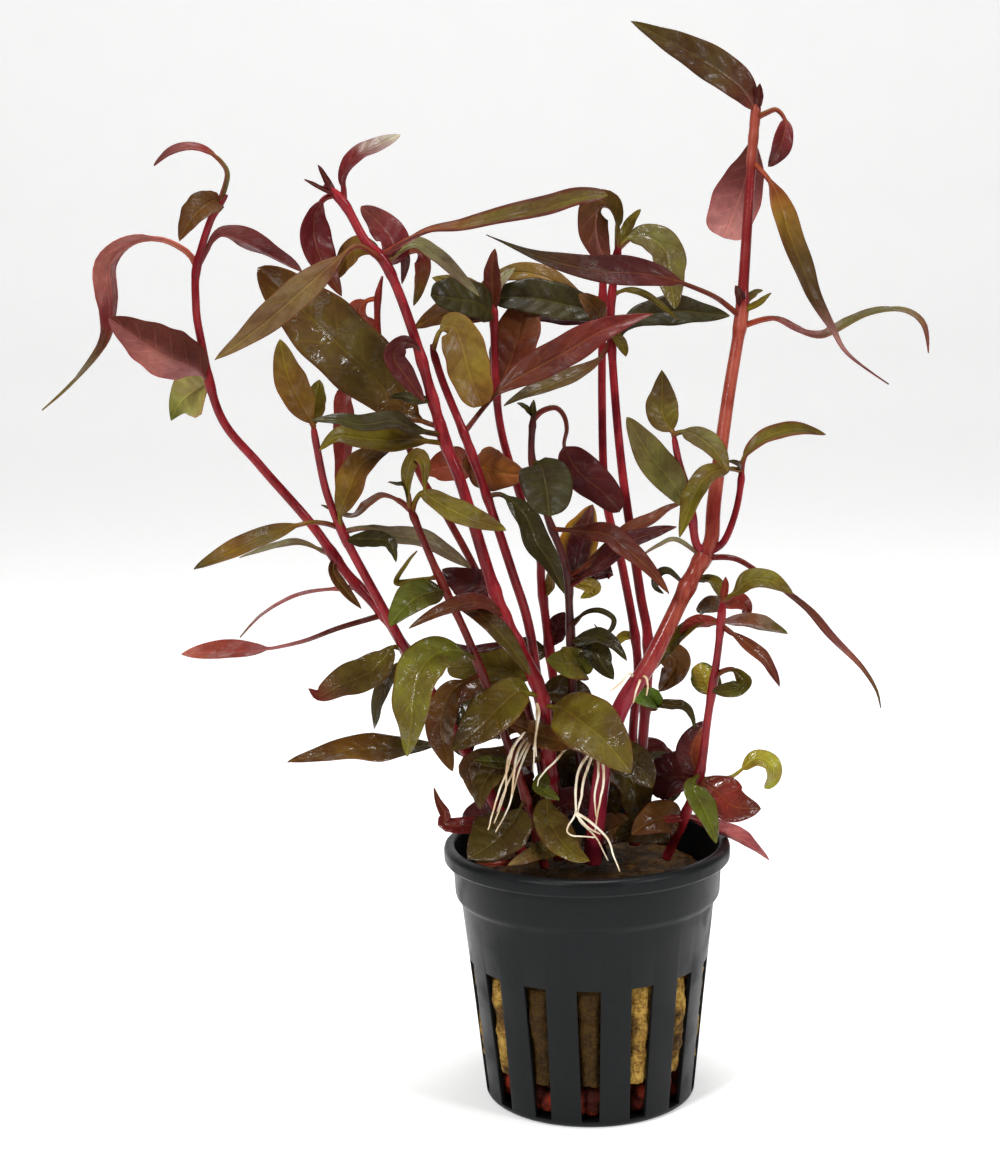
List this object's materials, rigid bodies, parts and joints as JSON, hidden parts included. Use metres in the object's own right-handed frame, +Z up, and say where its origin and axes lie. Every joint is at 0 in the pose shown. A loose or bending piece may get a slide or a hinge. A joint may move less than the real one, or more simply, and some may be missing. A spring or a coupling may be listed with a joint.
{
  "type": "potted aquatic stem plant",
  "caption": "Red and olive leafed aquatic stem plant: thin crimson shoots with lance-shaped leaves, rooted in rock wool in a slotted black net pot, with pale roots over the rim.",
  "frame": {"origin": "centre of the flat underside of the net pot, on the surface it stands on", "axes": "+Z up along the pot's axis, -Y towards the viewer of the picture, +X to that viewer's right; the plant spreads widest along X"},
  "size_m": [0.1612, 0.0581, 0.1999],
  "materials": {
    "pot_plastic": "satin",
    "rock_wool": "matte",
    "fired_clay": "matte",
    "root_ivory": "satin",
    "stem_crimson": "gloss",
    "stem_salmon": "gloss",
    "leaf_red": "satin",
    "leaf_pink": "satin",
    "leaf_maroon": "satin",
    "leaf_brown": "satin",
    "leaf_olive": "gloss",
    "leaf_green": "gloss"
  },
  "bodies": {
    "root": {"net_pot": "pot_plastic", "rock_wool": "rock_wool", "clay_granules": "fired_clay", "left_stem": "stem_crimson", "left_side_stem": "stem_crimson", "main_stem": "stem_crimson", "thin_back_stem": "stem_crimson", "second_stem": "stem_crimson", "bud_stem": "stem_crimson", "crook_stem": "stem_crimson", "tall_back_stem": "stem_crimson", "tall_front_stem": "stem_crimson", "right_stem_low": "stem_salmon", "right_stem_high": "stem_salmon", "right_side_stem": "stem_crimson", "right_short_stem": "stem_crimson", "low_right_stem": "stem_crimson", "arching_stem": "stem_crimson", "leaf_left_arch": "leaf_pink", "leaf_left_arch_right": "leaf_pink", "leaf_left_veined": "leaf_pink", "leaf_left_hidden": "leaf_olive", "leaf_left_low_olive": "leaf_olive", "leaf_left_thread": "leaf_pink", "leaf_left_lance": "leaf_red", "leaf_left_curled_tip": "leaf_olive", "leaf_low_long_brown": "leaf_brown", "leaf_side_up_left": "leaf_olive", "leaf_side_node_grey": "leaf_olive", "leaf_arch_right": "leaf_olive", "leaf_crown_hang": "leaf_maroon", "leaf_node_long_olive": "leaf_olive", "leaf_big_matte": "leaf_brown", "leaf_big_glossy": "leaf_olive", "leaf_tan_leaf": "leaf_brown", "leaf_main_left_olive": "leaf_olive", "leaf_main_hang_dark": "leaf_olive", "leaf_mid_dark_red": "leaf_maroon", "leaf_dark_top_wide": "leaf_olive", "leaf_crook_loop": "leaf_maroon", "leaf_crook_yellow_edge": "leaf_brown", "leaf_tall_green": "leaf_green", "leaf_long_crimson": "leaf_red", "leaf_dark_right": "leaf_olive", "leaf_top_blade": "leaf_brown", "leaf_top_pink": "leaf_pink", "leaf_top_strap": "leaf_olive", "leaf_node_right": "leaf_pink", "leaf_node_left_long": "leaf_maroon", "leaf_sprig_left": "leaf_olive", "leaf_fork_strap": "leaf_maroon", "leaf_low_red": "leaf_red", "leaf_low_bright_left": "leaf_green", "leaf_low_gloss_big": "leaf_olive", "leaf_low_gloss_right": "leaf_olive", "leaf_pot_leaf_big": "leaf_olive", "left_roots": "root_ivory", "middle_roots": "root_ivory", "right_roots": "root_ivory"}
  },
  "joints": []
}
